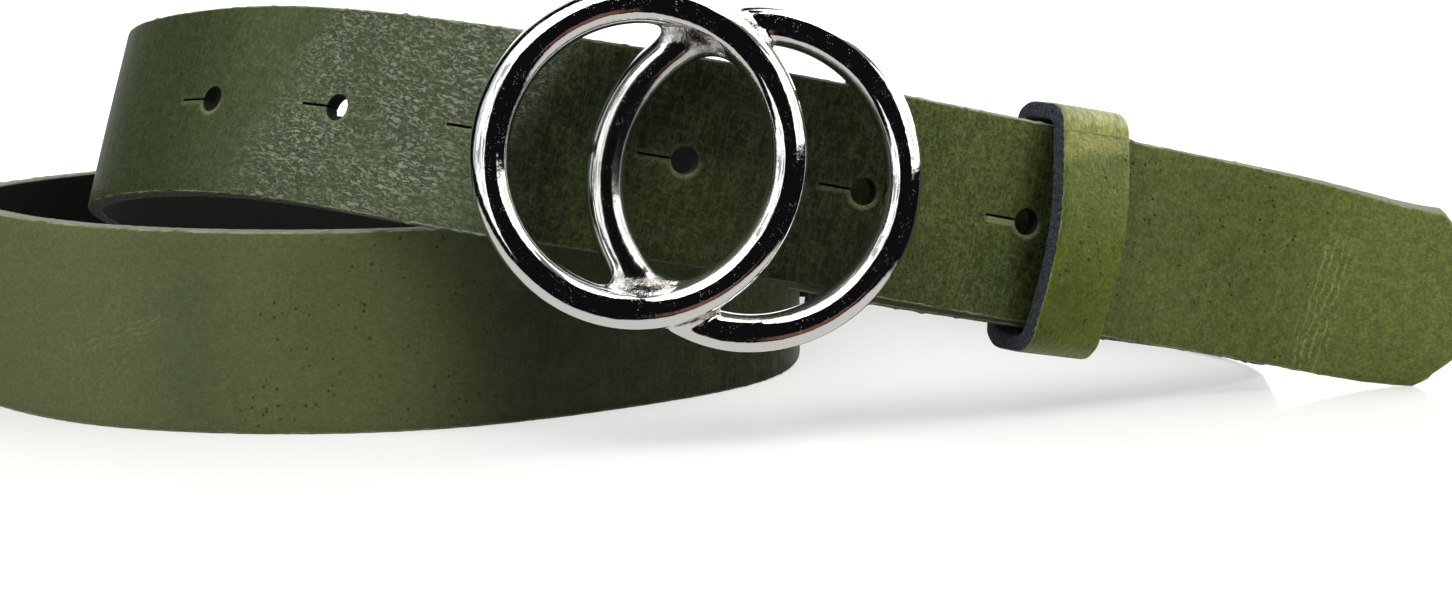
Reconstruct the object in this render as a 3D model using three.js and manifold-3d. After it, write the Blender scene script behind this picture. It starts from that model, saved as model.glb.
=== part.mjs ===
// Coiled leather ring belt standing on its edge: strap, keeper and double ring buckle, in millimetres.
import * as THREE from "three";
import { mergeVertices } from "three/addons/utils/BufferGeometryUtils.js";
import Module from "manifold-3d";

const wasm = await Module();
wasm.setup();

// Strap leather
const STRAP_WIDTH = 35;
const LEATHER = 3;
const EDGE_BEVEL = 0.35;
const STEPS_PER_ROW = 5;

// Middle of the coil's outline on the floor, which becomes the origin
const COIL_MIDDLE = { x: -2.6, y: 63.53 };

// Guide rows of the strap's bottom edge. Each row: plan place x and y, lift of the edge above the
// floor, and how far the top edge stands to the right of and behind the bottom edge.
const TIP_AND_BUCKLE_STRETCH = [
  [137, 45, -0.2, 2.5, -11],
  [117.2, 44.8, 0.2, 3.5, -9],
  [98.6, 41.8, 4.5, 4.7, -4],
  [78.5, 31.8, 9.1, 5.5, 2],
  [54.8, 17.3, 15.4, 6, 5.5],
  [28.1, 5.1, 21.8, 6, 4.7],
  [0, -3.3, 28.1, 5.9, 4.1],
  [-26.1, -9.3, 33, 6.2, 4.1],
];
const RAISED_INNER_TURN = [
  [-48.2, -10.3, 36.2, 7.2, 6.2],
  [-68.2, 1.9, 38.3, 8.3, 9.3],
  [-89.2, 18.3, 38.9, 8.4, 11.3],
  [-108.8, 35.8, 36.4, 8.1, 12.8],
  [-120.8, 53.8, 31.9, 7, 13.2],
  [-118.7, 73.2, 25.3, 5.3, 12],
  [-101.5, 94.3, 14, 3.7, 9.7],
  [-72, 115.9, 4.3, 2.3, 6.9],
  [-37.4, 133, 1.1, 1.2, 4],
  [-7.8, 134.4, 0.2, 0.4, 1.5],
];
// The outer turn stands upright on the floor, so its rows hold the plan place alone
const OUTER_TURN_ON_FLOOR = [
  [10.4, 112.3],
  [14, 57.5],
  [-9, 30.2],
  [-46.7, 1.9],
  [-80.5, -2.3],
  [-112.4, 5.4],
  [-135.2, 28.6],
  [-147.25, 56],
  [-118.4, 89],
  [-78.7, 121.1],
  [-33.5, 143.6],
  [9.1, 151.37],
  [43, 143.7],
  [66.9, 122.3],
  [79.5, 96],
];
const BUCKLE_END = [
  [91.5, 76.5, 0, 9.5, 7.5],
  [99.5, 64, 1.4, 16, 14.4],
  [98.5, 52, 2.2, 18, 15],
  [85.8, 39.9, 7, 16.8, 13.3],
  [65.2, 27.5, 11.5, 13.4, 10.1],
  [46.4, 17, 16, 8.9, 6.6],
  [28.6, 9.3, 19.8, 3.1, 3.5],
  [14.9, 4.7, 23, -3.1, 1.4],
];

// Tip, holes and folded end
const TIP_CHAMFER = 11;
const HOLE_RADIUS = 2.35;
const HOLE_COUNT = 6;
const FIRST_HOLE_FROM_TIP = 93.9;
const HOLE_PITCH = 31.95;
const SLIT_LENGTH = 8.1;
const SLIT_WIDTH = 0.4;
const HOLES_OVER_SECOND_LAYER = 2;
const CUT_TOWARD_SECOND_LAYER = 0.2;
const CUT_PAST_FLESH_SIDE = 2;
const PEG_HOLE_INDEX = 3;
const BAR_RADIUS = 1.5;
const BAR_CLEARANCE = 0.3;
const BAR_LENGTH = 41.6;
const FOLD_TAIL_LENGTH = 30;
const FOLD_TAIL_THICKNESS = 2.4;
const FOLD_TAIL_WIDTH = 34.6;
const TAIL_SINK = 0.15;

// Buckle casting
const RING_TUBE = 3.25;
const RING_SEGMENTS = 56;
const TUBE_SEGMENTS = 12;
const FRONT_RING = { x: -15.48, y: -13.88, z: 48.96, radius: 25.3 };
const REAR_RING = { x: 3.54, y: -6.65, z: 44.37, radius: 25.8 };
const RING_YAW = 14;
const RING_LEAN = 2.4;
const FLARE_EXTRA = 1.1;
const FLARE_HALF_ANGLE = 17;
const BRACKET_RADIUS = 1.3;
const PEG_RADIUS = 1.6;
const PEG_HEAD_RADIUS = 2.7;
const PEG_HEAD_LENGTH = 2;
const PEG_HEAD_GAP = 0.8;

// Keeper loop
const KEEPER_FROM_TIP = 84.9;
const KEEPER_TILT = -2.2;
const KEEPER_WIDTH = 14.6;
const KEEPER_LEATHER = 3;
const KEEPER_TOP_GAP = 1.1;
const KEEPER_BOTTOM_GAP = 1.9;
const KEEPER_FRONT_GAP = 0.7;
const KEEPER_FRONT_BULGE = 2.9;
const KEEPER_BACK_GAP = 2.6;
const SECOND_LAYER_BACK = 4.9;
const KEEPER_INNER_CORNER = 2;

const vec = (x, y, z) => new THREE.Vector3(x, y, z);

// Manifold helpers
function solidFrom(geometry) {
  const g = geometry.clone();
  g.deleteAttribute("normal");
  g.deleteAttribute("uv");
  const m = mergeVertices(g, 1e-4);
  const mesh = new wasm.Mesh({
    numProp: 3,
    vertProperties: new Float32Array(m.attributes.position.array),
    triVerts: new Uint32Array(m.index.array),
  });
  return new wasm.Manifold(mesh);
}

function solidFromRings(rings, closed) {
  const count = rings[0].length;
  const positions = rings.flat().flatMap((p) => [p.x, p.y, p.z]);
  const faces = [];
  const spans = closed ? rings.length : rings.length - 1;
  for (let i = 0; i < spans; i++) {
    const a = i * count;
    const b = ((i + 1) % rings.length) * count;
    for (let j = 0; j < count; j++) {
      const k = (j + 1) % count;
      faces.push(a + j, b + j, b + k, a + j, b + k, a + k);
    }
  }
  if (!closed) {
    const last = (rings.length - 1) * count;
    for (let j = 1; j < count - 1; j++) {
      faces.push(0, j, j + 1);
      faces.push(last, last + j + 1, last + j);
    }
  }
  const build = (index) =>
    new wasm.Manifold(
      new wasm.Mesh({
        numProp: 3,
        vertProperties: new Float32Array(positions),
        triVerts: new Uint32Array(index),
      }),
    );
  const made = build(faces);
  if (made.volume() > 0) return made;
  return build(faces.reverse());
}

function meshFrom(solid, name, colour, roughness, metalness) {
  const data = solid.getMesh();
  const g = new THREE.BufferGeometry();
  g.setAttribute("position", new THREE.BufferAttribute(data.vertProperties, 3));
  g.setIndex(new THREE.BufferAttribute(data.triVerts, 1));
  g.computeVertexNormals();
  const material = new THREE.MeshStandardMaterial({ color: colour, roughness, metalness });
  const mesh = new THREE.Mesh(g, material);
  mesh.name = name;
  return mesh;
}

// Smooth curve through the guide rows, with the strap's own directions at every station
const onFloor = OUTER_TURN_ON_FLOOR.map(([x, y]) => [x, y, 0, 0, 0]);
const guide = [...TIP_AND_BUCKLE_STRETCH, ...RAISED_INNER_TURN, ...onFloor, ...BUCKLE_END].map(
  ([x, y, lift, right, back]) => [x - COIL_MIDDLE.x, y - COIL_MIDDLE.y, lift, right, back],
);

function blend(weights, rows) {
  return rows[0].map((_, c) => weights.reduce((sum, w, i) => sum + w * rows[i][c], 0));
}

function guideRow(i) {
  const last = guide.length - 1;
  if (i < 0) return guide[0].map((v, c) => 2 * v - guide[1][c]);
  if (i > last) return guide[last].map((v, c) => 2 * v - guide[last - 1][c]);
  return guide[i];
}

function stationAt(u) {
  const i = Math.min(Math.floor(u), guide.length - 2);
  const f = u - i;
  const g = 1 - f;
  const rows = [guideRow(i - 1), guideRow(i), guideRow(i + 1), guideRow(i + 2)];
  const place = blend(
    [g ** 3 / 6, (3 * f ** 3 - 6 * f ** 2 + 4) / 6, (3 * g ** 3 - 6 * g ** 2 + 4) / 6, f ** 3 / 6],
    rows,
  );
  const slope = blend(
    [(-g * g) / 2, (3 * f * f - 4 * f) / 2, (-3 * f * f + 2 * f + 1) / 2, (f * f) / 2],
    rows,
  );
  const along = vec(slope[0], slope[1], slope[2]).normalize();
  const [, , , right, back] = place;
  const up = vec(right, back, Math.sqrt(STRAP_WIDTH ** 2 - right ** 2 - back ** 2));
  up.addScaledVector(along, -up.dot(along)).normalize();
  const inward = vec(0, 0, 0).crossVectors(along, up);
  const bottom = vec(place[0], place[1], place[2]);
  const middle = bottom.clone().addScaledVector(up, STRAP_WIDTH / 2);
  return { middle, along, up, inward, s: 0 };
}

const stations = [];
for (let k = 0; k <= (guide.length - 1) * STEPS_PER_ROW; k++) {
  const station = stationAt(k / STEPS_PER_ROW);
  const before = stations[k - 1];
  if (before) station.s = before.s + station.middle.distanceTo(before.middle);
  stations.push(station);
}

function stationFromTip(s) {
  const i = stations.findIndex((q) => q.s >= s);
  const a = stations[Math.max(i - 1, 0)];
  const b = stations[i];
  const f = b.s > a.s ? (s - a.s) / (b.s - a.s) : 0;
  const along = a.along.clone().lerp(b.along, f).normalize();
  const up = a.up.clone().lerp(b.up, f);
  up.addScaledVector(along, -up.dot(along)).normalize();
  const inward = vec(0, 0, 0).crossVectors(along, up);
  return { middle: a.middle.clone().lerp(b.middle, f), along, up, inward, s };
}

function placed(station, along, up, inward) {
  return station.middle
    .clone()
    .addScaledVector(station.along, along)
    .addScaledVector(station.up, up)
    .addScaledVector(station.inward, inward);
}

function leatherSection(station, width, thickness, bevel) {
  const w = width / 2;
  const t = thickness / 2;
  const outline = [
    [-w + bevel, -t],
    [-w, -t + bevel],
    [-w, t - bevel],
    [-w + bevel, t],
    [w - bevel, t],
    [w, t - bevel],
    [w, -t + bevel],
    [w - bevel, -t],
  ];
  return outline.map(([up, inward]) => placed(station, 0, up, inward));
}

// Solid turned and moved into a station's own directions: local x along, y up the width, z inward
function moveTo(geometry, station, along, up, inward) {
  const m = new THREE.Matrix4().makeBasis(station.along, station.up, station.inward);
  m.setPosition(placed(station, along, up, inward));
  return geometry.applyMatrix4(m);
}

// Strap: its long run, the turn round the buckle's bar, and the tail glued back on the flesh side
const end = stations[stations.length - 1];
const turnRadius = BAR_RADIUS + BAR_CLEARANCE + LEATHER / 2;
const barCentre = placed(end, 0, 0, turnRadius);

function turnStation(degrees) {
  const a = THREE.MathUtils.degToRad(degrees);
  const inward = end.inward
    .clone()
    .multiplyScalar(Math.cos(a))
    .addScaledVector(end.along, -Math.sin(a));
  const along = vec(0, 0, 0).crossVectors(end.up, inward);
  return { middle: barCentre.clone().addScaledVector(inward, -turnRadius), along, up: end.up, inward };
}

const turn = [];
for (let degrees = 20; degrees <= 180; degrees += 20) turn.push(turnStation(degrees));
const run = [...stations, ...turn];
const runRings = run.map((q) => leatherSection(q, STRAP_WIDTH, LEATHER, EDGE_BEVEL));

const tail = [turnStation(150), turnStation(165)];
const touching = (LEATHER + FOLD_TAIL_THICKNESS) / 2 - TAIL_SINK;
for (let d = 0; d <= FOLD_TAIL_LENGTH; d += 2.5) {
  const q = stationFromTip(end.s - d);
  const eased = THREE.MathUtils.smoothstep(d, 1, 12);
  const offset = THREE.MathUtils.lerp(2 * turnRadius, touching, eased);
  tail.push({
    middle: placed(q, 0, 0, offset),
    along: q.along.clone().negate(),
    up: q.up,
    inward: q.inward.clone().negate(),
  });
}
const tailRings = tail.map((q) => leatherSection(q, FOLD_TAIL_WIDTH, FOLD_TAIL_THICKNESS, EDGE_BEVEL));

let strap = solidFromRings(runRings, false).add(solidFromRings(tailRings, false));

// Keyholes: a round hole with a slit that runs on toward the inner turn
const cutDepth = LEATHER + 4;
for (let i = 0; i < HOLE_COUNT; i++) {
  const past = i < HOLES_OVER_SECOND_LAYER ? CUT_TOWARD_SECOND_LAYER : CUT_PAST_FLESH_SIDE;
  const cutMiddle = LEATHER / 2 + past - cutDepth / 2;
  const q = stationFromTip(FIRST_HOLE_FROM_TIP + i * HOLE_PITCH);
  const round = new THREE.CylinderGeometry(HOLE_RADIUS, HOLE_RADIUS, cutDepth, 24);
  round.rotateX(Math.PI / 2);
  strap = strap.subtract(solidFrom(moveTo(round, q, 0, 0, cutMiddle)));
  const slit = new THREE.BoxGeometry(SLIT_LENGTH, SLIT_WIDTH, cutDepth);
  strap = strap.subtract(solidFrom(moveTo(slit, q, SLIT_LENGTH / 2, 0, cutMiddle)));
}

// Tip corners cut off at 45 degrees
for (const side of [1, -1]) {
  const corner = new THREE.BoxGeometry(2 * TIP_CHAMFER, 2 * TIP_CHAMFER, 12);
  corner.rotateZ(Math.PI / 4);
  const reach = TIP_CHAMFER * (Math.SQRT2 - 1);
  strap = strap.subtract(
    solidFrom(moveTo(corner, stations[0], -reach, side * (STRAP_WIDTH / 2 + reach), 0)),
  );
}

// The edge that stands on the floor is flat
const below = new THREE.BoxGeometry(400, 400, 20).translate(0, 0, -10);
strap = strap.subtract(solidFrom(below));

// Buckle: two rings in parallel planes, the rear one flared where it runs into the front one
const yaw = THREE.MathUtils.degToRad(RING_YAW);
const lean = THREE.MathUtils.degToRad(RING_LEAN);
const toward = vec(Math.sin(yaw) * Math.cos(lean), -Math.cos(yaw) * Math.cos(lean), Math.sin(lean));
const ringPlace = (ring) => vec(ring.x - COIL_MIDDLE.x, ring.y - COIL_MIDDLE.y, ring.z);
const frontCentre = ringPlace(FRONT_RING);
const rearCentre = ringPlace(REAR_RING);
const apart = rearCentre.clone().sub(frontCentre);
const across = apart.clone().addScaledVector(toward, -apart.dot(toward));
const spacing = across.length();
across.normalize();
const upright = vec(0, 0, 0).crossVectors(across, toward).negate();
if (upright.z < 0) upright.negate();

function onRing(ring, degrees) {
  const a = THREE.MathUtils.degToRad(degrees);
  return ringPlace(ring)
    .addScaledVector(across, ring.radius * Math.cos(a))
    .addScaledVector(upright, ring.radius * Math.sin(a));
}

function ringSolid(ring, flareAt, flareExtra) {
  const centre = ringPlace(ring);
  const sections = [];
  for (let i = 0; i < RING_SEGMENTS; i++) {
    const degrees = (360 * i) / RING_SEGMENTS;
    const middle = onRing(ring, degrees);
    const out = middle.clone().sub(centre).normalize();
    const away = Math.min(...flareAt.map((f) => Math.abs(((degrees - f + 540) % 360) - 180)));
    const flare = Math.max(0, 1 - away / FLARE_HALF_ANGLE) ** 2;
    const tube = RING_TUBE + flareExtra * flare;
    const section = [];
    for (let j = 0; j < TUBE_SEGMENTS; j++) {
      const a = (2 * Math.PI * j) / TUBE_SEGMENTS;
      section.push(
        middle
          .clone()
          .addScaledVector(out, tube * Math.cos(a))
          .addScaledVector(toward, tube * Math.sin(a)),
      );
    }
    sections.push(section);
  }
  return solidFromRings(sections, true);
}

function rod(from, to, radius) {
  const length = from.distanceTo(to);
  const g = new THREE.CylinderGeometry(radius, radius, length, 16);
  g.applyQuaternion(
    new THREE.Quaternion().setFromUnitVectors(vec(0, 1, 0), to.clone().sub(from).normalize()),
  );
  const middle = from.clone().lerp(to, 0.5);
  return solidFrom(g.translate(middle.x, middle.y, middle.z));
}

const knob = (centre, radius) =>
  solidFrom(new THREE.SphereGeometry(radius, 16, 10).translate(centre.x, centre.y, centre.z));

const crossing = THREE.MathUtils.radToDeg(Math.acos(spacing / 2 / REAR_RING.radius));
let buckle = ringSolid(FRONT_RING, [], 0);
buckle = buckle.add(ringSolid(REAR_RING, [180 - crossing, 180 + crossing], FLARE_EXTRA));

// Bar behind the tip strap, held by two brackets off the rear ring, that the buckle end folds round
const barHalf = BAR_LENGTH / 2;
const barAngle = THREE.MathUtils.radToDeg(Math.asin(barHalf / REAR_RING.radius));
for (const side of [1, -1]) {
  const ringEnd = onRing(REAR_RING, side * barAngle);
  const barEnd = barCentre.clone().addScaledVector(end.up, side * barHalf);
  buckle = buckle.add(rod(ringEnd, barEnd, BRACKET_RADIUS)).add(knob(barEnd, BRACKET_RADIUS));
}
const barTop = barCentre.clone().addScaledVector(end.up, barHalf);
const barBottom = barCentre.clone().addScaledVector(end.up, -barHalf);
buckle = buckle.add(rod(barTop, barBottom, BAR_RADIUS));

// Headed peg behind the front ring, through the hole that the belt is fastened in
const peg = stationFromTip(FIRST_HOLE_FROM_TIP + PEG_HOLE_INDEX * HOLE_PITCH);
const pegReach = peg.middle.clone().sub(frontCentre).dot(toward) / peg.inward.dot(toward);
const pegRoot = placed(peg, 0, 0, -pegReach);
const headStart = LEATHER / 2 + PEG_HEAD_GAP;
const headEnd = placed(peg, 0, 0, headStart + PEG_HEAD_LENGTH);
buckle = buckle.add(rod(pegRoot, headEnd, PEG_RADIUS));
buckle = buckle.add(rod(placed(peg, 0, 0, headStart), headEnd, PEG_HEAD_RADIUS));

// Keeper: a loop of leather round the tip strap and the buckle end behind it
const keeperAt = stationFromTip(KEEPER_FROM_TIP);
const tilt = THREE.MathUtils.degToRad(KEEPER_TILT);
keeperAt.up.applyAxisAngle(keeperAt.inward, tilt);
keeperAt.along.applyAxisAngle(keeperAt.inward, tilt);

function keeperOutline(grow) {
  const top = STRAP_WIDTH / 2 + KEEPER_TOP_GAP + grow;
  const bottom = -STRAP_WIDTH / 2 - KEEPER_BOTTOM_GAP - grow;
  const front = -LEATHER / 2 - KEEPER_FRONT_GAP - grow;
  const back = SECOND_LAYER_BACK + KEEPER_BACK_GAP + grow;
  const corner = KEEPER_INNER_CORNER + grow;
  const corners = [
    { inward: front, up: top, start: 180 },
    { inward: back, up: top, start: 90 },
    { inward: back, up: bottom, start: 0 },
    { inward: front, up: bottom, start: -90 },
  ];
  const points = corners.flatMap(({ inward, up, start }) => {
    const signIn = inward === back ? -1 : 1;
    const signUp = up === top ? -1 : 1;
    return [0, 30, 60, 90].map((turned) => {
      const a = THREE.MathUtils.degToRad(start - turned);
      return [
        inward + signIn * corner + corner * Math.cos(a),
        up + signUp * corner + corner * Math.sin(a),
      ];
    });
  });
  const frontFace = 8;
  for (let i = 1; i < frontFace; i++) {
    const f = i / frontFace;
    const up = THREE.MathUtils.lerp(bottom + corner, top - corner, f);
    points.push([front - KEEPER_FRONT_BULGE * Math.sin(Math.PI * f), up]);
  }
  return points;
}

const keeperInner = keeperOutline(0);
const keeperOuter = keeperOutline(KEEPER_LEATHER);
const keeperRings = keeperInner.map(([inward, up], i) => {
  const [outInward, outUp] = keeperOuter[i];
  const half = KEEPER_WIDTH / 2;
  return [
    placed(keeperAt, -half, up, inward),
    placed(keeperAt, half, up, inward),
    placed(keeperAt, half, outUp, outInward),
    placed(keeperAt, -half, outUp, outInward),
  ];
});
const keeper = solidFromRings(keeperRings, true);

const belt = new THREE.Group();
belt.name = "ring_belt";
belt.add(meshFrom(strap, "strap", 0x39401f, 0.7, 0));
belt.add(meshFrom(keeper, "keeper", 0x4f5a22, 0.65, 0));
belt.add(meshFrom(buckle, "double_ring_buckle", 0xc8c9cb, 0.12, 1));
export default belt;
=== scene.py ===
import math
import bmesh
import bpy
import numpy as np
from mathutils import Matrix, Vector, noise
from mathutils.geometry import delaunay_2d_cdt


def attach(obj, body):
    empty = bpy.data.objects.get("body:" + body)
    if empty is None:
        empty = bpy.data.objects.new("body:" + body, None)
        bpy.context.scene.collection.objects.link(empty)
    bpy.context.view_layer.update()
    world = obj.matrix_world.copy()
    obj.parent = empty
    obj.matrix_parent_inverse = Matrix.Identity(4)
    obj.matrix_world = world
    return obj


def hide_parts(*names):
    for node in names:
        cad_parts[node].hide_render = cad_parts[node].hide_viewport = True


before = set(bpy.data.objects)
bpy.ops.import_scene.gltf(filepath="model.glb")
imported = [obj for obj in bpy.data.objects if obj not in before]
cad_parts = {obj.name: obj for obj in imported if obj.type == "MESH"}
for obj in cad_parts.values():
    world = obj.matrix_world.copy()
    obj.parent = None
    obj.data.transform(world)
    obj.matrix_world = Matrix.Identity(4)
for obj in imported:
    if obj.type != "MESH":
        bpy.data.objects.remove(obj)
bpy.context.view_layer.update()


# Camera: low in front of the buckle, a little above the belt, looking slightly down on it.
CAMERA_PLACE = (0.001183, -0.626076, 0.113144)
CAMERA_DOWN = math.radians(9.0466)
LENS_MM = 83.095

camera_data = bpy.data.cameras.new("camera")
camera_data.lens = LENS_MM
camera_data.sensor_width = 36
camera_data.sensor_fit = "HORIZONTAL"
camera_data.clip_start = 0.01
camera = bpy.data.objects.new("camera", camera_data)
camera.location = CAMERA_PLACE
camera.rotation_euler = (math.pi / 2 - CAMERA_DOWN, 0, 0)
bpy.context.scene.collection.objects.link(camera)
bpy.context.scene.camera = camera


# Strap: one length of full-grain leather, cut from a hide with raw edges and dyed black behind.
# The tip is clipped, the keyholes are punched and slit, and the other end is folded round the
# buckle's bar and glued to its own back. It is coiled up and stands on its edge.
STRAP_WIDTH = 35
LEATHER = 3
TIP_CLIP = 11
EDGE_ROUND = 0.6
COLUMN = 1.0
FACE_ROWS = 20
COIL_MIDDLE = (-2.6, 63.53)
# Rows that guide a smooth curve along the bottom edge, in millimetres: plan place x and y, lift above
# the floor, and how far the top edge stands to the right of and behind the bottom edge. On the floor
# the strap is upright, so only x and y are given.
RAISED_STRETCH = (
    (137, 45, -0.2, 2.5, -11),
    (117.2, 44.8, 0.2, 3.5, -9),
    (98.6, 41.8, 4.5, 4.7, -4),
    (78.5, 31.8, 9.1, 5.5, 2),
    (54.8, 17.3, 15.4, 6, 5.5),
    (28.1, 5.1, 21.8, 6, 4.7),
    (0, -3.3, 28.1, 5.9, 4.1),
    (-26.1, -9.3, 33, 6.2, 4.1),
    (-48.2, -10.3, 36.2, 7.2, 6.2),
    (-68.2, 1.9, 38.3, 8.3, 9.3),
    (-89.2, 18.3, 38.9, 8.4, 11.3),
    (-108.8, 35.8, 36.4, 8.1, 12.8),
    (-120.8, 53.8, 31.9, 7, 13.2),
    (-118.7, 73.2, 25.3, 5.3, 12),
    (-101.5, 94.3, 14, 3.7, 9.7),
    (-72, 115.9, 4.3, 2.3, 6.9),
    (-37.4, 133, 1.1, 1.2, 4),
    (-7.8, 134.4, 0.2, 0.4, 1.5),
)
TURN_ON_FLOOR = (
    (10.4, 112.3),
    (14, 57.5),
    (-9, 30.2),
    (-46.7, 1.9),
    (-80.5, -2.3),
    (-112.4, 5.4),
    (-135.2, 28.6),
    (-147.25, 56),
    (-118.4, 89),
    (-78.7, 121.1),
    (-33.5, 143.6),
    (9.1, 151.37),
    (43, 143.7),
    (66.9, 122.3),
    (79.5, 96),
)
BUCKLE_STRETCH = (
    (91.5, 76.5, 0, 9.5, 7.5),
    (99.5, 64, 1.4, 16, 14.4),
    (98.5, 52, 2.2, 18, 15),
    (85.8, 39.9, 7, 16.8, 13.3),
    (65.2, 27.5, 11.5, 13.4, 10.1),
    (46.4, 17, 16, 8.9, 6.6),
    (28.6, 9.3, 19.8, 3.1, 3.5),
    (14.9, 4.7, 23, -3.1, 1.4),
)
FOLD_RADIUS = 3.3
TAIL_LENGTH = 30
TAIL_LEATHER = 2.4
TAIL_OFFSET = 2.62
HOLE_RADIUS = 2.35
HOLE_COUNT = 6
FIRST_HOLE = 93.9
HOLE_PITCH = 31.95
SLIT_REACH = 8.1
SLIT_HALF = 0.2
PUNCHED_DIP = 0.16
RIM_STEPS = (0, 0.22, 0.6, 1.05)
HOLE_CLEARANCE = 1.3
HOLE_WINDOW = 4
FUZZ = 0.09
TUFT = 0.75
FLOOR_GAP = 0.02
# The buckle's rings, whose shadow is painted darker on the upper stretch behind them: centre x, y and z, and
# radius
RINGS = ((-15.48, -13.88, 48.96, 25.3), (3.54, -6.65, 44.37, 25.8))
RING_SHADE = 1.9
RING_SHADE_DEPTH = 24
UPPER_STRETCH = 300

on_floor = [(x, y, 0, 0, 0) for x, y in TURN_ON_FLOOR]
guide = np.array([*RAISED_STRETCH, *on_floor, *BUCKLE_STRETCH], float)
guide[:, 0] -= COIL_MIDDLE[0]
guide[:, 1] -= COIL_MIDDLE[1]
guide = np.vstack([2 * guide[0] - guide[1], guide, 2 * guide[-1] - guide[-2]])
LAST_ROW = len(guide) - 3
ring_centres = [np.array([x - COIL_MIDDLE[0], y - COIL_MIDDLE[1], z]) for x, y, z, _ in RINGS]
ring_radii = [radius for *_, radius in RINGS]


def unit(v):
    return v / np.linalg.norm(v, axis=-1, keepdims=True)


def route(u):
    """Middle of the width, along, up and inward directions, u guide rows from the tip."""
    i = np.clip(np.floor(u).astype(int), 0, LAST_ROW - 1)
    f = (u - i)[:, None]
    g = 1 - f
    a, b, c, d = (guide[i + k] for k in range(4))
    place = (g**3 * a + (3 * f**3 - 6 * f**2 + 4) * b + (3 * g**3 - 6 * g**2 + 4) * c + f**3 * d) / 6
    slope = -g * g * a + (3 * f * f - 4 * f) * b + (-3 * f * f + 2 * f + 1) * c + f * f * d
    along = unit(slope[:, :3])
    right, back = place[:, 3], place[:, 4]
    up = np.stack([right, back, np.sqrt(STRAP_WIDTH**2 - right**2 - back**2)], 1)
    up = unit(up - (up * along).sum(1, keepdims=True) * along)
    inward = np.cross(along, up)
    return place[:, :3] + up * STRAP_WIDTH / 2, along, up, inward


rows_of_table = np.arange(LAST_ROW * 5 + 1) / 5
middles = route(rows_of_table)[0]
steps = np.linalg.norm(np.diff(middles, axis=0), axis=1)
length_at_row = np.concatenate([[0], np.cumsum(steps)])
RUN_LENGTH = length_at_row[-1]
HALF_TURN = math.pi * FOLD_RADIUS
STRAP_END = RUN_LENGTH + HALF_TURN + TAIL_LENGTH


def smooth(x):
    x = np.clip(x, 0, 1)
    return x * x * (3 - 2 * x)


def strap_at(s):
    """Middle, along, up, inward and thickness of the strap, s millimetres from the tip."""
    past = s - RUN_LENGTH
    back = np.clip(past - HALF_TURN, 0, None)
    mid, along, up, inward = route(np.interp(np.minimum(s, RUN_LENGTH) - back, length_at_row, rows_of_table))
    turned = np.clip(past / FOLD_RADIUS, 0, math.pi)[:, None]
    centre = mid + inward * FOLD_RADIUS
    new_inward = inward * np.cos(turned) - along * np.sin(turned)
    new_mid = centre - new_inward * FOLD_RADIUS
    eased = smooth((back - 1) / 11)[:, None]
    glued = mid + inward * (2 * FOLD_RADIUS + (TAIL_OFFSET - 2 * FOLD_RADIUS) * eased)
    new_mid = np.where(back[:, None] > 0, glued, new_mid)
    thick = LEATHER + (TAIL_LEATHER - LEATHER) * smooth(past / HALF_TURN)
    return new_mid, np.cross(up, new_inward), up, new_inward, thick


def strap_point(s, across, depth):
    """A point of the strap: across its width from the middle, depth from -1 (flesh) to 1 (grain)."""
    mid, along, up, inward, thick = strap_at(np.clip(s, 0, STRAP_END))
    overhang = (s - np.clip(s, 0, STRAP_END))[:, None]
    # the leather isn't quite flat
    ripple = 0.07 * np.sin(s / 9.1 + across / 14) + 0.05 * np.sin(s / 23 - across / 7 + 1.3)
    outward = depth * thick / 2 + ripple
    return mid + along * overhang + up * across[:, None] - inward * outward[:, None]


def keyhole(at, grow):
    """Outline of a keyhole in the flat strap: a round hole with a slit that runs on."""
    radius, half, reach = HOLE_RADIUS + grow, SLIT_HALF + grow, SLIT_REACH + grow
    start = math.asin(half / radius)
    turn = np.linspace(start, 2 * math.pi - start, 44)
    round_part = np.stack([at + radius * np.cos(turn), radius * np.sin(turn)], 1)
    out = np.linspace(radius * math.cos(start), reach, 14)[1:]
    lower = np.stack([at + out, np.full_like(out, -half)], 1)
    upper = np.stack([at + out[::-1], np.full_like(out, half)], 1)
    return np.vstack([round_part, lower, upper])


def from_keyhole(s, across, at):
    """Distance from a keyhole's outline, negative inside it."""
    slit = np.clip(s - at, 0, SLIT_REACH)
    return np.minimum(
        np.hypot(s - at, across) - HOLE_RADIUS, np.hypot(s - at - slit, across) - SLIT_HALF
    )


holes = [FIRST_HOLE + HOLE_PITCH * i for i in range(HOLE_COUNT)]


class FlatPattern:
    """The strap's face as cut out flat: places along and across, faces, and its outlines."""

    def __init__(self):
        self.points = []
        self.faces = []
        self.hole_loops = []

    def add(self, s, across):
        self.points.append((s, across))
        return len(self.points) - 1


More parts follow.
